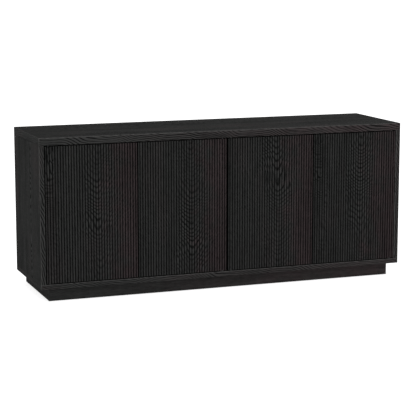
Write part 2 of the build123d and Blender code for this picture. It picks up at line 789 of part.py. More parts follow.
for (door_name, door_x, hinge), pin_x, latch_x in zip(doors, pin_xs, latch_xs):
    strike_screw_place = Location((latch_x, door_back_y + strike_thickness, strike_screw_z), point_forward)

    with BuildPart() as door_panel:
        with BuildSketch(Plane.XY.offset(door_bottom_z)) as door_section:
            with Locations((door_x, door_middle_y)):
                Rectangle(door_width, door_thickness)
            with Locations((door_x, front_y)):
                with GridLocations(flute_pitch, flute_pitch, flute_count, 1):
                    SlotOverall(2 * flute_depth, flute_width, rotation=90, mode=Mode.SUBTRACT)
            fillet(door_section.vertices().group_by(Axis.Y)[0], flute_ease)
        extrude(amount=door_top_z - door_bottom_z)
        bores(door_bottom_z, [(pin_x, door_middle_y)], pin_bore_radius, pin_in_door + blind_allowance)
        bores(door_top_z, [(pin_x, door_middle_y)], pin_bore_radius, -pin_in_door - blind_allowance)
        with Locations(strike_screw_place):
            add(strike_screw_pocket, mode=Mode.SUBTRACT)
    door_panel.part.label = f"{door_name}_door_panel"
    export_step(door_panel.part, f"parts/{door_name}_door_panel.step")

    with BuildPart() as door_pins:
        with Locations((pin_x, door_middle_y, 0)):
            add(pivot_pins.part)
    door_pins.part.label = f"{door_name}_door_pivot_pins"
    export_step(door_pins.part, f"parts/{door_name}_door_pivot_pins.step")

    with BuildPart() as strike_plate:
        with BuildSketch(Plane.XZ.offset(-door_back_y)):
            with Locations((latch_x, strike_z)):
                RectangleRounded(strike_width, strike_height, strike_corner)
        extrude(amount=-strike_thickness)
        with Locations(strike_screw_place):
            add(strike_screw_pocket, mode=Mode.SUBTRACT)
    strike_plate.part.label = f"{door_name}_strike_plate"
    export_step(strike_plate.part, f"parts/{door_name}_strike_plate.step")

    with BuildPart() as door_strike_screw:
        with Locations(strike_screw_place):
            add(strike_screw)
    door_strike_screw.part.label = f"{door_name}_strike_screw"
    export_step(door_strike_screw.part, f"parts/{door_name}_strike_screw.step")
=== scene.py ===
import json
import math

import bmesh
import bpy
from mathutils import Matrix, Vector


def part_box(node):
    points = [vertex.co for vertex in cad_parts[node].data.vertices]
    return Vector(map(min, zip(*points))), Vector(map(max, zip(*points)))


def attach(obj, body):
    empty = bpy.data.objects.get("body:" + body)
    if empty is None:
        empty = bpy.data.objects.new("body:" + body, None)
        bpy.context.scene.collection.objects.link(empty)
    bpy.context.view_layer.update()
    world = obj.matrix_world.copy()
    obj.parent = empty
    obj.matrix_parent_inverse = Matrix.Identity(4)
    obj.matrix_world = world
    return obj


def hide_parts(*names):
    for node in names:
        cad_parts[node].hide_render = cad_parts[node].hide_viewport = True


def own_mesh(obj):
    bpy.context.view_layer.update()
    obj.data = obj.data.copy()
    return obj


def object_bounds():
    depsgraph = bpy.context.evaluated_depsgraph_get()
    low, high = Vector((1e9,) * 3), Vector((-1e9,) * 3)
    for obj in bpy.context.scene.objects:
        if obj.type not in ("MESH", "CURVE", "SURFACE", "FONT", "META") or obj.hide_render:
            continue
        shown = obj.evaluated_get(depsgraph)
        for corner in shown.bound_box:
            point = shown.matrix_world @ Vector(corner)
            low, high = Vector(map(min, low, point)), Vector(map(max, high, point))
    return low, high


# The looks of a low sideboard in black-stained oak. Metres, in the frame of the CAD model:
# +X is the viewer's right, the doors face -Y, +Z is up and the floor is at z = 0.

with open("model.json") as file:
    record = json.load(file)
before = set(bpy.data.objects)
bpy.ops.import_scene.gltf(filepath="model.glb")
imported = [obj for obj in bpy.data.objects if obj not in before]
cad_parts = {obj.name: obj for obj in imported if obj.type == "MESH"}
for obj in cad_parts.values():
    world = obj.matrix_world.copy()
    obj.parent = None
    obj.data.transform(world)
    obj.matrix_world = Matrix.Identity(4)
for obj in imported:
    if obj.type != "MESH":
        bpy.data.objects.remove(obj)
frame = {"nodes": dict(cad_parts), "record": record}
cad_low, cad_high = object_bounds()
MM = 0.001
DOORS = ("left_outer", "left_inner", "right_inner", "right_outer")


# ---------------------------------------------------------------- camera, lights and floor
CAMERA_PLACE = (-2.0334, -5.4986, 1.2804)
CAMERA_YAW = math.radians(20.2446)
CAMERA_PITCH = math.radians(9.6157)
CAMERA_LENS = 129.65  # millimetres
CAMERA_SENSOR = 36.0  # its width in millimetres
CAMERA_SIGHT = 500.0  # how far it sees, in metres
FLOOR_RADIUS = 150.0
FLOOR_SIDES = 96
FLOOR_GLOW = 0.75  # the floor is lit from within, as a photographer's light table is
WORLD_STRENGTH = 0.75
WHITE = (1.0, 1.0, 1.0, 1.0)

# Each softbox has its place, the point that it faces, the length of its sides and its power in watts.
SOFTBOXES = {
    "overhead_softbox": ((0.0, -1.1, 3.2), (0.0, 0.0, 0.5), 2.2, 22.0),
    "front_softbox": ((0.6, -4.6, 2.4), (0.2, 0.0, 0.3), 2.4, 26.0),
}


def make_camera():
    data = bpy.data.cameras.new("camera")
    data.lens = CAMERA_LENS
    data.sensor_width = CAMERA_SENSOR
    data.clip_end = CAMERA_SIGHT
    camera = bpy.data.objects.new("camera", data)
    bpy.context.scene.collection.objects.link(camera)
    level = math.cos(CAMERA_PITCH)
    look = Vector((math.sin(CAMERA_YAW) * level, math.cos(CAMERA_YAW) * level, -math.sin(CAMERA_PITCH)))
    camera.location = CAMERA_PLACE
    camera.rotation_mode = "QUATERNION"
    camera.rotation_quaternion = look.to_track_quat("-Z", "Y")
    bpy.context.scene.camera = camera


def softbox(name, place, target, size, power):
    """A large square area light at place that faces target."""
    data = bpy.data.lights.new(name, "AREA")
    data.shape = "SQUARE"
    data.size = size
    data.energy = power
    light = bpy.data.objects.new(name, data)
    bpy.context.scene.collection.objects.link(light)
    light.location = place
    light.rotation_mode = "QUATERNION"
    light.rotation_quaternion = (Vector(target) - Vector(place)).to_track_quat("-Z", "Y")


def make_lights():
    world = bpy.data.worlds.new("studio")
    bpy.context.scene.world = world
    world.use_nodes = True
    background = world.node_tree.nodes["Background"]
    background.inputs["Color"].default_value = WHITE
    background.inputs["Strength"].default_value = WORLD_STRENGTH
    for name, (place, target, size, power) in SOFTBOXES.items():
        softbox(name, place, target, size, power)
    bpy.context.scene.view_settings.view_transform = "Standard"


def make_floor():
    mesh = bpy.data.meshes.new("floor")
    shape = bmesh.new()
    bmesh.ops.create_circle(shape, cap_ends=True, segments=FLOOR_SIDES, radius=FLOOR_RADIUS)
    shape.to_mesh(mesh)
    shape.free()
    floor = bpy.data.objects.new("floor", mesh)
    bpy.context.scene.collection.objects.link(floor)
    mesh.materials.append(floor_material())


# ---------------------------------------------------------------- shader building blocks
def add_node(tree, kind, inputs=None, **settings):
    """Adds a node. inputs maps its sockets to plain values or to the sockets that feed them."""
    node = tree.nodes.new(kind)
    for name, value in settings.items():
        setattr(node, name, value)
    for socket, value in (inputs or {}).items():
        if isinstance(value, bpy.types.NodeSocket):
            tree.links.new(value, node.inputs[socket])
        else:
            node.inputs[socket].default_value = value
    return node


def maths(tree, operation, a, b=0.0, clamp=False):
    return add_node(tree, "ShaderNodeMath", {0: a, 1: b}, operation=operation, use_clamp=clamp).outputs[0]


def plus(tree, a, b):
    return maths(tree, "ADD", a, b)


def times(tree, a, b):
    return maths(tree, "MULTIPLY", a, b)


def size_of(tree, value):
    return maths(tree, "ABSOLUTE", value)


def blend(tree, a, b, share):
    """A share of a, and of b what is left."""
    return plus(tree, times(tree, a, share), times(tree, b, 1 - share))


def vector(tree, x, y, z):
    return add_node(tree, "ShaderNodeCombineXYZ", {0: x, 1: y, 2: z}).outputs[0]


def split(tree, place):
    return add_node(tree, "ShaderNodeSeparateXYZ", {0: place}).outputs


def object_place(tree):
    return add_node(tree, "ShaderNodeTexCoord").outputs["Object"]


def surface_normal(tree):
    return add_node(tree, "ShaderNodeTexCoord").outputs["Normal"]


def noise(tree, place, scale, detail=2.0, rough=0.5):
    """Noise from 0 to 1 over place, a vector in metres, with scale features to the metre."""
    inputs = {"Vector": place, "Scale": scale, "Detail": detail, "Roughness": rough}
    return add_node(tree, "ShaderNodeTexNoise", inputs).outputs["Fac"]


def swing(tree, value, amount):
    """Turns a value about 0.5 into one about zero, amount high from end to end."""
    return times(tree, plus(tree, value, -0.5), amount)


def between(tree, value, low, high, to_low=0.0, to_high=1.0):
    """Maps low..high to to_low..to_high smoothly, and holds it there outside."""
    inputs = {"Value": value, "From Min": low, "From Max": high, "To Min": to_low, "To Max": to_high}
    return add_node(tree, "ShaderNodeMapRange", inputs, interpolation_type="SMOOTHSTEP").outputs["Result"]


def mix_colour(tree, factor, a, b):
    return add_node(tree, "ShaderNodeMix", {0: factor, 6: a, 7: b}, data_type="RGBA").outputs[2]


def mix_vector(tree, factor, a, b):
    return add_node(tree, "ShaderNodeMix", {0: factor, 4: a, 5: b}, data_type="VECTOR").outputs[1]


def new_material(name):
    """A material with a Principled shader; returns the material, its tree and the shader."""
    material = bpy.data.materials.new(name)
    material.use_nodes = True
    tree = material.node_tree
    return material, tree, tree.nodes["Principled BSDF"]


# ---------------------------------------------------------------- black-stained oak
# The darkest stain; it is also laid as painted shade in the flutes and in the gaps at the doors' sides.
STAIN_DARK_AND_PAINTED_SHADE = (0.0026, 0.0027, 0.0027, 1.0)
STAIN_LIGHT = (0.0300, 0.0304, 0.0298, 1.0)
STAIN_WARM = (0.0400, 0.0310, 0.0320, 1.0)
# Painted highlight: the light colour laid along the arrises.
PAINTED_HIGHLIGHT_COLOUR = (0.0940, 0.0920, 0.0905, 1.0)
OAK_SPECULAR = 0.004  # a dead matt lacquer
OAK_ROUGH = (0.74, 0.90)
FACES_AXIS = 0.7  # a surface faces along an axis if its normal has more than this of it
NOWHERE = 9.0  # metres, past the end of any board

# Noises over the veneer: an offset to the board's seed, what its places are multiplied by across
# and along the grain, features to the metre after that, levels of detail, and how rough those are.
VENEER_NOISES = {
    "slow_waves": (0.0, 1.1, 0.8, 3.2, 1.0, 0.5),
    "quick_waves": (3.0, 1.0, 0.35, 30.0, 2.0, 0.5),
    "drift": (7.0, 0.0, 1.0, 4.5, 1.0, 0.5),
    "swirl": (9.0, 1.2, 1.0, 7.0, 2.0, 0.5),
    "breaks": (13.0, 1.4, 0.8, 11.0, 1.0, 0.5),
    "fibres": (17.0, 1.0, 0.022, 420.0, 3.0, 0.6),
    "streaks": (19.0, 1.0, 0.05, 95.0, 2.0, 0.6),
    "pores": (23.0, 1.0, 0.045, 1150.0, 1.0, 0.5),
    "flecks": (27.0, 1.0, 0.55, 70.0, 2.0, 0.6),
    "bands": (29.0, 1.0, 0.07, 20.0, 2.0, 0.6),
    "patches": (31.0, 1.6, 0.5, 6.0, 2.0, 0.5),
    "ragged": (37.0, 1.0, 0.8, 15.0, 4.0, 0.7),
}

# The levels of a noise between which the thing that it drives comes in.
ARRIS_HIGHLIGHT_LEVELS = (0.30, 0.62)
UNBROKEN_LEVELS = (0.34, 0.62)
PORE_LEVELS = (0.56, 0.66)
THREAD_LEVELS = (0.36, 0.60)
WARM_PATCH_LEVELS = (0.52, 0.66)
WARM_EDGE_LEVELS = (0.35, 0.60)

# The grain's waves and the cathedral figure.
SLOW_WAVE = 46 * MM
QUICK_WAVE = 5 * MM
HEART_HALF = 58 * MM  # the figure's half width
HEART_ROUND = 17 * MM  # radius of the arcs at their points
BAND_BESIDE_HEART = 26 * MM
DRIFT_RINGS = 9.0  # the whole figure wanders by this many rings
SWIRL_RINGS = 7.0  # and its parts by this many
SWIRL_AT_HEART = 0.3  # the share of it that the heart has
DARK_LINE_ENDS = 0.34  # share of the way from one ring to the next
DARK_LINE_STARTS = 0.64
FIGURE_FADE = (0.6, 1.6)  # in half widths of the figure
RINGS_BESIDE = 0.42  # how clearly rings show beside the figure
RINGS_FAR = 0.30  # and clear_reach away from clear_at
RINGS_BROKEN = 0.30  # and where they break up

# The darker veneer at a door's left side.
MARGIN_FADE = 24 * MM
MARGIN_CLIMB = 200 * MM  # it comes in over this height
MARGIN_AT_FOOT = 0.25  # its strength below that
MARGIN_SWIRL = 1.6  # how much more the rings wander in it
MARGIN_TONE = -0.14

# How light the stain is, from 0 to 1.
MIDDLE_TONE = 0.68
RING_MIDDLE = 0.62  # the ring tone that leaves it alone
RING_DEPTH = 0.95
FIBRE_TONE = 0.60
STREAK_TONE = 0.55
FLECK_TONE = 0.50
PATCHES_TO_BANDS = 0.55
PORE_TONE = 0.45  # what a pore leaves of it
PORES_IN_RINGS = -0.16  # under zero, so that the dark lines have more of them
FIBRES_IN_THREADS = 0.6  # their share, where streaks have the rest
THREAD_DEPTH = (0.45, 1.25)
RAGGED_REACH = 420 * MM  # how far the warm stain's border wanders
EDGE_WARMTH_LEAST = 0.45

# Gloss and relief.
FIBRE_GLOSS = 0.5
RELIEF = 0.12 * MM
RELIEF_STRENGTH = 0.55
FIBRE_HEIGHT = 0.5
RING_HEIGHT = 0.35

# Painted highlights on the arrises, and painted shade in the flutes and at the sides of the doors.
EDGE_REACH = 2.4 * MM
TOP_END_HIGHLIGHT = 0.35  # how strong the painted highlight is on the top's ends beside its front
ARRIS_HIGHLIGHT_LEAST = 0.35  # how strong the painted highlight on an arris is where it is faintest
ARRIS_HIGHLIGHT_SCALE = 55.0
FLUTE_FROM = 0.5 * MM  # behind a door's front, where the painted shade in the flutes starts
FLUTE_FULL = 2.6 * MM
FLUTE_END = 4.6 * MM  # behind their bottoms
FLUTE_STOP = 0.2 * MM
FLUTE_OFF_SIDES = (1.2 * MM, 0.4 * MM)  # their painted shade fades from here to here off a door's sides
FLUTE_OFF_ENDS = (0.4 * MM, 0.1 * MM)  # and off its ends
FLUTE_PAINTED_SHADE = 0.80
# Painted shade for the gaps between the doors, laid on their upright sides and lapping a little onto their
# faces.
GAP_SHADE_LAP = 1.9 * MM
GAP_SHADE_STRENGTH = 0.9

# What a board's veneer looks like, where its own entry doesn't say otherwise.
PLAIN_OAK = {
    "heart": 0.0,  # where the middle of the cathedral figure lies across the grain
    "ring": 7.4 * MM,  # from one growth ring to the next
    "slope": 0.24,  # the figure's arcs point down the grain, ring / slope apart
    "straight": 0.3,  # how much steeper the rings run beside the figure
    "figure": 1.0,  # how strongly the rings show
    "clear_at": 0.0,  # where along the grain they show most
    "clear_reach": NOWHERE,  # and how far to each side of it
    "margin": -NOWHERE,  # left of this place the veneer is darker and streaked
    "margin_foot": 0.0,  # and more so above this one
    "warm_from": NOWHERE,  # the stain turns warm across the grain from here
    "warm_to": 2 * NOWHERE,  # to here
    "warm_patches": 0.3,  # and in patches, to this strength
    "warm_edge": 0.0,  # and on its front edge, more and more to the right
    "arris_highlight": 0.85,  # how strong the painted highlight along the arrises is
    "painted_light": 0.0,  # painted light: how much lighter the whole board is, and painted shade where it is below zero
    "painted_lean": 0.0,  # painted light: how much lighter it gets with each metre to the right
    "banding": 0.45,  # how strong its long light and dark bands are
    "seed": 0.0,
    "ends": False,  # True where an edge band runs round the board's ends
    "banded": False,  # True where the board's front and back edges have a band
    "fluted": False,
}


def grain_space(tree, along, across):
    """Coordinates of a board's grain: x across it and y along it.

    along is the axis of the grain and across the two others, of which one is constant on each
    face, so that their sum runs on round an edge without a break.
    """
    axes = split(tree, object_place(tree))
    side_by_side = plus(tree, axes["XYZ".index(across[0])], axes["XYZ".index(across[1])])
    return vector(tree, side_by_side, axes["XYZ".index(along)], 0.0)


def turned_on_ends(tree, grain, along, across):
    """Grain that runs along a board's edge band on its two ends, as applied edge veneer does."""
    axes = split(tree, object_place(tree))
    band = vector(tree, axes["XYZ".index(across[1])], axes["XYZ".index(across[0])], 0.0)
    end_on = size_of(tree, split(tree, surface_normal(tree))["XYZ".index(along)])
    return mix_vector(tree, maths(tree, "GREATER_THAN", end_on, FACES_AXIS), grain, band)


def banded_edges(tree, grain, node, across, heart):
    """Grain moved sideways on a board's front and back edges.

    The front one's middle then shows what lies beside the heart, as a band cut from there does.
    """
    low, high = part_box(node)
    other = "XYZ".index(across.replace("Y", ""))
    front_edge = low.y + (low[other] + high[other]) / 2
    edge_on = size_of(tree, split(tree, surface_normal(tree))[1])
    on_edge = maths(tree, "GREATER_THAN", edge_on, FACES_AXIS)
    shift = times(tree, on_edge, heart - BAND_BESIDE_HEART - front_edge)
    u, v, _ = split(tree, grain)
    return vector(tree, plus(tree, u, shift), v, 0.0)


def near(tree, place, faces):
    """1 at any of the faces, which are levels along one axis, and 0 past EDGE_REACH from them."""
    nearness = 0.0
    for face in faces:
        off = size_of(tree, plus(tree, place, -face))
        at_face = between(tree, off, EDGE_REACH / 4, EDGE_REACH, 1.0, 0.0)
        nearness = maths(tree, "MAXIMUM", at_face, nearness)
    return nearness


def painted_arris_highlights(tree, node, along):
    """1 along the arrises where a highlight is painted into the colour, and patchy.

    They are a lying board's upper front one, an upright's front two, the cabinet's outer ones at
    the front, and more faintly its top's ends.
    """
    low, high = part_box(node)
    x, y, z = split(tree, object_place(tree))
    at_front = near(tree, y, (low.y,))
    beside = near(tree, x, (low.x, high.x)) if along == "Z" else near(tree, z, (high.z,))
    corner = near(tree, x, (cad_low.x, cad_high.x))
    top_end = times(tree, times(tree, corner, near(tree, z, (cad_high.z,))), TOP_END_HIGHLIGHT)
    cabinet_front = times(tree, corner, near(tree, y, (cad_low.y,)))
    total = plus(tree, times(tree, at_front, beside), plus(tree, top_end, cabinet_front))
    patches = noise(tree, object_place(tree), ARRIS_HIGHLIGHT_SCALE)
    patchy = between(tree, patches, *ARRIS_HIGHLIGHT_LEVELS, ARRIS_HIGHLIGHT_LEAST, 1.0)
    return maths(tree, "MULTIPLY", total, patchy, clamp=True)


def painted_flute_shade(tree, node):
    """Painted shade in the flutes of a door's front, by how deep a point lies in them: 0 on the ridges, 1
    at the bottoms.
    """
    low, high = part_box(node)
    middle = (low + high) / 2
    half = (high - low) / 2
    x, y, z = split(tree, object_place(tree))
    behind = plus(tree, y, -low.y)
    deep = between(tree, behind, FLUTE_FROM, FLUTE_FULL)
    front_only = between(tree, behind, FLUTE_END, FLUTE_END + FLUTE_STOP, 1.0, 0.0)
    start, stop = FLUTE_OFF_SIDES
    off_middle = size_of(tree, plus(tree, x, -middle.x))
    off_sides = between(tree, off_middle, half.x - start, half.x - stop, 1.0, 0.0)
    start, stop = FLUTE_OFF_ENDS
    off_height = size_of(tree, plus(tree, z, -middle.z))
    off_ends = between(tree, off_height, half.z - start, half.z - stop, 1.0, 0.0)
    return times(tree, times(tree, deep, front_only), times(tree, off_sides, off_ends))


def painted_gap_shade(tree, node):
    """Painted shade for the gaps between the doors: a dark band on a door's two upright sides, which laps a
    little onto its faces.
    """
    low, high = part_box(node)
    x = split(tree, object_place(tree))[0]
    off_middle = size_of(tree, plus(tree, x, -(low.x + high.x) / 2))
    half = (high.x - low.x) / 2
    return between(tree, off_middle, half - GAP_SHADE_LAP, half - GAP_SHADE_LAP / 4, 0.0, GAP_SHADE_STRENGTH)


def veneer_noise(tree, look, kind, u, v):
    """One of VENEER_NOISES, with u across the grain and v along it."""
    offset, across, along, scale, detail, rough = VENEER_NOISES[kind]
    place = vector(tree, times(tree, u, across), times(tree, v, along), look["seed"] + offset)
    return noise(tree, place, scale, detail, rough)


def dark_margin(tree, look, u, v):
    """1 in the darker, streaked veneer at a door's left side, and less towards its foot."""
    side = between(tree, u, look["margin"] - MARGIN_FADE, look["margin"], 1.0, 0.0)
    foot = look["margin_foot"]
    return times(tree, side, between(tree, v, foot, foot + MARGIN_CLIMB, MARGIN_AT_FOOT, 1.0))


def growth_rings(tree, look, u, v, bent):
    """Rings cut almost along the tree: nested arcs at the heart, straight lines beside it.

    Returns the rings' tone, 0 in the dark lines and 1 between them, and how clearly they show.
    """
    ring = look["ring"]
    at_margin = dark_margin(tree, look, u, v)
    sideways = size_of(tree, plus(tree, bent, -look["heart"]))
    rounded = maths(tree, "SQRT", plus(tree, times(tree, sideways, sideways), HEART_ROUND * HEART_ROUND))
    beyond = maths(tree, "MAXIMUM", plus(tree, sideways, -HEART_HALF), 0.0)
    steeper = times(tree, maths(tree, "SUBTRACT", 1.0, at_margin), look["straight"])
    outward = plus(tree, rounded, times(tree, beyond, steeper))

    off_heart = between(tree, sideways, 0.0, HEART_HALF, SWIRL_AT_HEART, 1.0)
    loose = plus(tree, off_heart, times(tree, at_margin, MARGIN_SWIRL))
    drift = swing(tree, veneer_noise(tree, look, "drift", u, v), DRIFT_RINGS * ring)
    swirl = swing(tree, veneer_noise(tree, look, "swirl", u, v), SWIRL_RINGS * ring)
    wander = plus(tree, drift, times(tree, swirl, loose))
    climb = plus(tree, times(tree, v, -look["slope"]), wander)
    phase = maths(tree, "FRACT", times(tree, plus(tree, outward, climb), 1.0 / ring))
    after_line = between(tree, phase, 0.0, DARK_LINE_ENDS)
    before_line = between(tree, phase, DARK_LINE_STARTS, 1.0, 1.0, 0.0)

    start, stop = FIGURE_FADE
    at_heart = between(tree, sideways, HEART_HALF * start, HEART_HALF * stop, 1.0, RINGS_BESIDE)
    from_clear = size_of(tree, plus(tree, v, -look["clear_at"]))
    at_clear = between(tree, from_clear, 0.0, look["clear_reach"], 1.0, RINGS_FAR)
    breaks = veneer_noise(tree, look, "breaks", u, v)
    unbroken = between(tree, breaks, *UNBROKEN_LEVELS, RINGS_BROKEN, 1.0)
    shown = maths(tree, "MAXIMUM", times(tree, at_heart, at_clear), at_margin)
    return times(tree, after_line, before_line), times(tree, shown, unbroken)


def warmth(tree, look, u, v, patches):
    """How far the stain has turned warm, with a ragged border."""
    ragged = veneer_noise(tree, look, "ragged", u, v)
    border = plus(tree, u, swing(tree, ragged, RAGGED_REACH))
    side = between(tree, border, look["warm_from"], look["warm_to"])
    in_patches = between(tree, patches, *WARM_PATCH_LEVELS, 0.0, look["warm_patches"])

    on_front = maths(tree, "LESS_THAN", split(tree, surface_normal(tree))[1], -FACES_AXIS)
    x = split(tree, object_place(tree))[0]
    edge = times(tree, on_front, between(tree, x, cad_low.x, cad_high.x, 0.0, look["warm_edge"]))
    edge = times(tree, edge, between(tree, ragged, *WARM_EDGE_LEVELS, EDGE_WARMTH_LEAST, 1.0))
    return maths(tree, "MAXIMUM", edge, maths(tree, "MAXIMUM", side, in_patches))


def oak_material(name, node, along, across, **own):
    """Black-stained open-grain oak veneer on the board called node."""
    look = {**PLAIN_OAK, **own}
    material, tree, shader = new_material(name)
    grain = grain_space(tree, along, across)
    if look["ends"]:
        grain = turned_on_ends(tree, grain, along, across)
    if look["banded"]:
        grain = banded_edges(tree, grain, node, across, look["heart"])
    u, v, _ = split(tree, grain)

    # Slow waves in the grain, and smaller ones on top of them.
    slow = swing(tree, veneer_noise(tree, look, "slow_waves", u, v), SLOW_WAVE)
    quick = swing(tree, veneer_noise(tree, look, "quick_waves", u, v), QUICK_WAVE)
    bent = plus(tree, u, plus(tree, slow, quick))
    ring_tone, ring_shown = growth_rings(tree, look, u, v, bent)

    # Fibres, and the short open pores that oak has most of at the start of each ring.
    fibres = veneer_noise(tree, look, "fibres", bent, v)
    streaks = veneer_noise(tree, look, "streaks", bent, v)
    pore_noise = veneer_noise(tree, look, "pores", bent, v)
    pore_noise = plus(tree, pore_noise, swing(tree, ring_tone, PORES_IN_RINGS))
    pores = between(tree, pore_noise, *PORE_LEVELS)
    flecks = veneer_noise(tree, look, "flecks", u, v)
    bands = veneer_noise(tree, look, "bands", u, v)
    patches = veneer_noise(tree, look, "patches", u, v)

    # The dark lines are rows of pores, so they come and go along the fibres.
    threads = blend(tree, fibres, streaks, FIBRES_IN_THREADS)
    threads = between(tree, threads, *THREAD_LEVELS, *THREAD_DEPTH)
    ring_depth = times(tree, times(tree, ring_shown, threads), RING_DEPTH * look["figure"])
    ring_swing = times(tree, plus(tree, ring_tone, -RING_MIDDLE), ring_depth)
    # Painted light and shade: a whole board made lighter or darker by its own amount.
    tone = plus(tree, ring_swing, MIDDLE_TONE + look["painted_light"])
    # Painted light: a board made lighter towards the right.
    rightward = split(tree, object_place(tree))[0]
    tone = plus(tree, tone, times(tree, rightward, look["painted_lean"]))
    tone = plus(tree, tone, times(tree, dark_margin(tree, look, u, v), MARGIN_TONE))
    variations = (
        (fibres, FIBRE_TONE),
        (streaks, STREAK_TONE),
        (flecks, FLECK_TONE),
        (bands, look["banding"]),
        (patches, PATCHES_TO_BANDS * look["banding"]),
    )
    for variation, amount in variations:
        tone = plus(tree, tone, swing(tree, variation, amount))
    tone = maths(tree, "MULTIPLY", tone, between(tree, pores, 0.0, 1.0, 1.0, PORE_TONE), clamp=True)

    stain = mix_colour(tree, warmth(tree, look, u, v, patches), STAIN_LIGHT, STAIN_WARM)
    colour = mix_colour(tree, tone, STAIN_DARK_AND_PAINTED_SHADE, stain)
    # Painted highlight along the arrises, laid as a lighter colour.
    highlight_share = times(tree, painted_arris_highlights(tree, node, along), look["arris_highlight"])
    colour = mix_colour(tree, highlight_share, colour, PAINTED_HIGHLIGHT_COLOUR)
    # Painted shade: the flutes' hollows and the gaps at the doors' sides are darkened in the colour.
    if look["fluted"]:
        flute_shade_share = times(tree, painted_flute_shade(tree, node), FLUTE_PAINTED_SHADE)
        painted_shade = maths(tree, "MAXIMUM", flute_shade_share, painted_gap_shade(tree, node))
        colour = mix_colour(tree, painted_shade, colour, STAIN_DARK_AND_PAINTED_SHADE)
    tree.links.new(colour, shader.inputs["Base Color"])

    rough = between(tree, plus(tree, swing(tree, fibres, FIBRE_GLOSS), pores), 0.0, 1.0, *OAK_ROUGH)
    tree.links.new(rough, shader.inputs["Roughness"])
    raised = plus(tree, times(tree, fibres, FIBRE_HEIGHT), times(tree, ring_tone, RING_HEIGHT))
    height = plus(tree, times(tree, pores, -1.0), raised)
    relief = {"Height": height, "Strength": RELIEF_STRENGTH, "Distance": RELIEF}
    bump = add_node(tree, "ShaderNodeBump", relief)
    tree.links.new(bump.outputs["Normal"], shader.inputs["Normal"])
    shader.inputs["Specular IOR Level"].default_value = OAK_SPECULAR
    return material


# ---------------------------------------------------------------- plainer materials
FINE_RELIEF = 0.05 * MM
SPOTS_TO_GRAIN = 0.13  # how many spots there are to each feature of the grain
GRAIN_IN_COLOUR = 0.6  # the grain's share in the colour's variation, where spots have the rest
COLOUR_LEVELS = (0.3, 0.7)
GLOSS_LEVELS = (0.25, 0.75)

# By slot: two colours that it varies between, features to the metre, and its range of roughness.
# Its noise's places are multiplied by stretch along each axis, so one under 1 draws the grain out.
PLAIN_LOOKS = {
    "plinth_frame": dict(
        name="softwood",
        colour=(0.50, 0.36, 0.21),
        other=(0.62, 0.47, 0.29),
        scale=240.0,
        rough=(0.6, 0.8),
        stretch=(1, 0.05, 1),
    ),
    "back_board": dict(
        name="black_fibreboard",
        colour=(0.005, 0.005, 0.005),
        other=(0.011, 0.011, 0.0105),
        scale=700.0,
        rough=(0.65, 0.85),
        specular=0.25,
    ),
    "beech_dowel": dict(
        name="beech",
        colour=(0.55, 0.39, 0.24),
        other=(0.68, 0.51, 0.34),
        scale=300.0,
        rough=(0.5, 0.7),
        stretch=(1, 1, 0.08),
    ),
    "zinc_fittings": dict(
        name="zinc_plate",
        colour=(0.52, 0.52, 0.50),
        other=(0.66, 0.66, 0.65),
        scale=420.0,
        rough=(0.28, 0.45),
        metallic=1.0,
    ),
    "steel_screws": dict(
        name="black_zinc",
        colour=(0.05, 0.05, 0.052),
        other=(0.10, 0.10, 0.10),
        scale=500.0,
        rough=(0.30, 0.45),
        metallic=1.0,
    ),
    "pivot_steel": dict(
        name="blacked_pin",
        colour=(0.030, 0.030, 0.031),
        other=(0.052, 0.052, 0.053),
        scale=900.0,
        rough=(0.3, 0.45),
        metallic=1.0,
        stretch=(0.1, 0.1, 1),
    ),
    "pivot_bushes": dict(
        name="blacked_bush",
        colour=(0.022, 0.022, 0.023),
        other=(0.040, 0.040, 0.041),
        scale=900.0,
        rough=(0.35, 0.5),
        metallic=1.0,
        stretch=(0.1, 0.1, 1),
    ),
    "latch_plastic": dict(
        name="black_moulding",
        colour=(0.016, 0.016, 0.017),
        other=(0.026, 0.026, 0.026),
        scale=1500.0,
        rough=(0.42, 0.6),
    ),
    "latch_magnet": dict(
        name="nickel_plate",
        colour=(0.40, 0.39, 0.38),
        other=(0.52, 0.51, 0.49),
        scale=300.0,
        rough=(0.15, 0.28),
        metallic=1.0,
    ),
    "spring_steel": dict(
        name="spring_wire",
        colour=(0.40, 0.40, 0.41),
        other=(0.55, 0.55, 0.55),
        scale=800.0,
        rough=(0.25, 0.4),
        metallic=1.0,
    ),
    "strike_steel": dict(
        name="strike_plate_zinc",
        colour=(0.45, 0.45, 0.45),
        other=(0.60, 0.60, 0.60),
        scale=700.0,
        rough=(0.3, 0.45),
        metallic=1.0,
        stretch=(0.06, 1, 1),
    ),
    "stop_rubber": dict(
        name="rubber_pad",
        colour=(0.014, 0.014, 0.014),
        other=(0.024, 0.024, 0.024),
        scale=900.0,
        rough=(0.7, 0.9),
    ),
    "glide_plastic": dict(
        name="glide_nylon",
        colour=(0.03, 0.03, 0.03),
        other=(0.05, 0.05, 0.05),
        scale=900.0,
        rough=(0.4, 0.6),
    ),
}
FLOOR_LOOK = dict(
    name="studio_floor",
    colour=(0.78, 0.78, 0.78),
    other=(0.8, 0.8, 0.8),
    scale=3.0,
    rough=(0.8, 0.9),
    bump=0.0,
    specular=0.0,
)


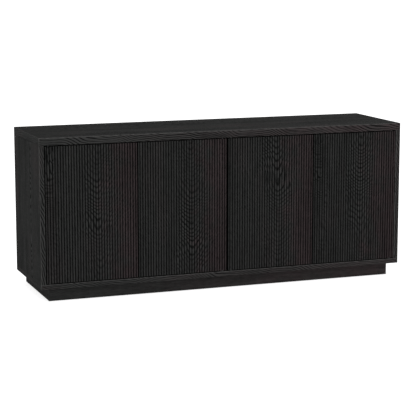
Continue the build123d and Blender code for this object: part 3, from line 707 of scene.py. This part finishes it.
def mottled(name, colour, other, scale, rough, metallic=0.0, bump=0.3, stretch=(1, 1, 1), specular=0.5):
    """A material whose colour, gloss and relief vary a little over a noise."""
    material, tree, shader = new_material(name)
    x, y, z = split(tree, object_place(tree))
    place = vector(tree, times(tree, x, stretch[0]), times(tree, y, stretch[1]), times(tree, z, stretch[2]))
    grain = noise(tree, place, scale, detail=3.0, rough=0.6)
    spots = noise(tree, place, scale * SPOTS_TO_GRAIN)
    factor = between(tree, blend(tree, grain, spots, GRAIN_IN_COLOUR), *COLOUR_LEVELS)
    tree.links.new(mix_colour(tree, factor, (*colour, 1.0), (*other, 1.0)), shader.inputs["Base Color"])
    tree.links.new(between(tree, grain, *GLOSS_LEVELS, *rough), shader.inputs["Roughness"])
    relief = add_node(tree, "ShaderNodeBump", {"Height": grain, "Strength": bump, "Distance": FINE_RELIEF})
    tree.links.new(relief.outputs["Normal"], shader.inputs["Normal"])
    shader.inputs["Metallic"].default_value = metallic
    shader.inputs["Specular IOR Level"].default_value = specular
    return material


def floor_material():
    material = mottled(**FLOOR_LOOK)
    shader = material.node_tree.nodes["Principled BSDF"]
    shader.inputs["Emission Color"].default_value = WHITE
    shader.inputs["Emission Strength"].default_value = FLOOR_GLOW
    return material


# ---------------------------------------------------------------- which board has which veneer
LENGTHWAYS = {"along": "X", "across": "YZ"}
FRONT_TO_BACK = {"along": "Y", "across": "XZ"}
UPRIGHT = {"along": "Z", "across": "YX"}

# The doors' veneer. WARM_FROM and WARM_TO are shares of a door's width from its left edge, and
# CLEAR_REACH and MARGIN_FOOT of its height.
DOOR_OAK = dict(
    UPRIGHT,
    ring=13.0 * MM,
    straight=1.4,
    figure=0.9,
    warm_patches=0.2,
    # a faint painted highlight along the arrises
    arris_highlight=0.06,
    fluted=True,
)
WARM_FROM = 0.56
WARM_TO = 0.96
CLEAR_REACH = 0.55
MARGIN_FOOT = 0.30

# Each door's own figure. heart and margin are shares of its width, and clear_at of its height.
DOOR_FIGURES = {
    "left_outer": dict(heart=0.57, clear_at=0.57, slope=0.66, margin=0.15, seed=2.0),
    "left_inner": dict(heart=0.60, clear_at=0.32, slope=0.70, margin=0.0, seed=14.0),
    "right_inner": dict(heart=0.58, clear_at=0.72, slope=0.64, margin=0.05, seed=27.0),
    "right_outer": dict(heart=0.58, clear_at=0.63, slope=0.68, margin=0.16, seed=41.0),
}

# Every other oak board. Some are made lighter or darker overall, and the top lighter towards the right, as
# painted light and shade, and some have their painted arris highlight made stronger or weaker.
BOARDS = {
    "top_panel": dict(
        LENGTHWAYS,
        heart=0.70,
        slope=0.20,
        figure=1.4,
        warm_edge=0.9,
        painted_light=0.09,
        painted_lean=0.15,
        banding=1.2,
        seed=5.0,
        ends=True,
        banded=True,
    ),
    "bottom_panel": dict(
        LENGTHWAYS,
        heart=0.30,
        figure=1.1,
        warm_edge=0.55,
        arris_highlight=0.75,
        seed=9.0,
        ends=True,
        banded=True,
    ),
    "left_side_panel": dict(
        UPRIGHT,
        heart=-0.80,
        figure=1.5,
        painted_light=-0.10,
        banding=0.85,
        arris_highlight=0.4,
        seed=12.0,
        banded=True,
    ),
    "right_side_panel": dict(
        UPRIGHT,
        heart=0.67,
        figure=1.4,
        painted_light=-0.16,
        banding=0.85,
        warm_edge=0.2,
        seed=19.0,
        banded=True,
    ),
    "centre_partition": dict(UPRIGHT, heart=0.02, figure=0.6, seed=23.0),
    "left_shelf": dict(LENGTHWAYS, heart=0.34, figure=0.6, seed=29.0),
    "right_shelf": dict(LENGTHWAYS, heart=0.36, figure=0.6, seed=33.0),
    "door_stops": dict(LENGTHWAYS, figure=0.3, seed=37.0),
    "plinth_front_rail": dict(LENGTHWAYS, heart=0.40, figure=0.3, painted_light=-0.05, warm_edge=1.0, seed=43.0),
    "plinth_rear_rail": dict(LENGTHWAYS, heart=0.60, figure=0.3, seed=47.0),
    "plinth_left_rail": dict(FRONT_TO_BACK, heart=-0.30, figure=0.3, seed=51.0),
    "plinth_right_rail": dict(FRONT_TO_BACK, heart=0.40, figure=0.3, seed=53.0),
}


def door_material(door):
    node = f"{door}_door_panel"
    low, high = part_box(node)
    wide = high.x - low.x
    tall = high.z - low.z
    figure = DOOR_FIGURES[door]
    # The grain's coordinate is x + y, and y is the door's front on its face.
    left_edge = low.x + low.y
    own = {
        **DOOR_OAK,
        **figure,
        "heart": left_edge + figure["heart"] * wide,
        "margin": left_edge + figure["margin"] * wide,
        "margin_foot": low.z + MARGIN_FOOT * tall,
        "clear_at": low.z + figure["clear_at"] * tall,
        "clear_reach": CLEAR_REACH * tall,
        "warm_from": left_edge + WARM_FROM * wide,
        "warm_to": left_edge + WARM_TO * wide,
    }
    return oak_material(f"oak_{door}_door", node, **own)


def dress_frame():
    """Gives each CAD node its material: a board its own veneer, and any other the one of its slot.

    Returns the slots' materials.
    """
    plain = {slot: mottled(**look) for slot, look in PLAIN_LOOKS.items()}
    boards = {name: oak_material(f"oak_{name}", name, **own) for name, own in BOARDS.items()}
    for door in DOORS:
        boards[f"{door}_door_panel"] = door_material(door)
    for part in frame["record"]["subparts"]:
        node = frame["nodes"][part["node"]]
        material = boards.get(part["node"]) or plain[part["material_slot"]]
        node.data.materials.clear()
        node.data.materials.append(material)
    return plain


# ---------------------------------------------------------------- latch springs
WIRE_RADIUS = 0.6 * MM
WIRE_SIDES = 10
SPRING_TURNS = 6
CLOSED_TURNS = 1  # at each end, lying against each other
CLOSED_PITCH = 2.1 * WIRE_RADIUS
STEPS_TO_A_TURN = 28


def wire_travel(turn, length):
    """How far along a spring of that length its wire has come after so many turns."""
    closed = CLOSED_TURNS * CLOSED_PITCH
    if turn < CLOSED_TURNS:
        return turn * CLOSED_PITCH
    if turn > SPRING_TURNS - CLOSED_TURNS:
        return length - (SPRING_TURNS - turn) * CLOSED_PITCH
    share = (turn - CLOSED_TURNS) / (SPRING_TURNS - 2 * CLOSED_TURNS)
    return closed + share * (length - 2 * closed)


def coil_mesh(name, start, length, radius):
    """A compression spring's round wire, coiled along +Y from start, the middle of its front turn."""
    shape = bmesh.new()
    rings = []
    for step in range(SPRING_TURNS * STEPS_TO_A_TURN + 1):
        turn = step / STEPS_TO_A_TURN
        angle = 2 * math.pi * turn
        outward = Vector((math.cos(angle), 0.0, math.sin(angle)))
        centre = start + outward * radius + Vector((0.0, wire_travel(turn, length), 0.0))
        ring = []
        for side in range(WIRE_SIDES):
            round_wire = 2 * math.pi * side / WIRE_SIDES
            off = outward * math.cos(round_wire) + Vector((0.0, math.sin(round_wire), 0.0))
            ring.append(shape.verts.new(centre + off * WIRE_RADIUS))
        rings.append(ring)
    for ring, following in zip(rings, rings[1:]):
        for side in range(WIRE_SIDES):
            after = (side + 1) % WIRE_SIDES
            shape.faces.new((ring[side], ring[after], following[after], following[side])).smooth = True
    shape.faces.new(rings[0])
    shape.faces.new(rings[-1])
    bmesh.ops.recalc_face_normals(shape, faces=shape.faces)
    mesh = bpy.data.meshes.new(name)
    shape.to_mesh(mesh)
    shape.free()
    return mesh


def make_latch_spring(door, material):
    """The spring behind a latch's plunger, a coil of wire that goes with the carcass."""
    node = f"{door}_latch_spring"
    low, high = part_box(node)
    middle = (low + high) / 2
    start = Vector((middle.x, low.y + WIRE_RADIUS, middle.z))
    length = high.y - low.y - 2 * WIRE_RADIUS
    mesh = coil_mesh(f"{door}_latch_coil", start, length, (high.x - low.x) / 2 - WIRE_RADIUS)
    mesh.materials.append(material)
    piece = bpy.data.objects.new(f"{door}_latch_coil", mesh)
    bpy.context.scene.collection.objects.link(piece)
    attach(piece, "carcass")
    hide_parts(node)
    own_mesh(piece)


# ---------------------------------------------------------------- the scene
make_camera()
make_lights()
make_floor()
slot_materials = dress_frame()
for door in DOORS:
    make_latch_spring(door, slot_materials["spring_steel"])
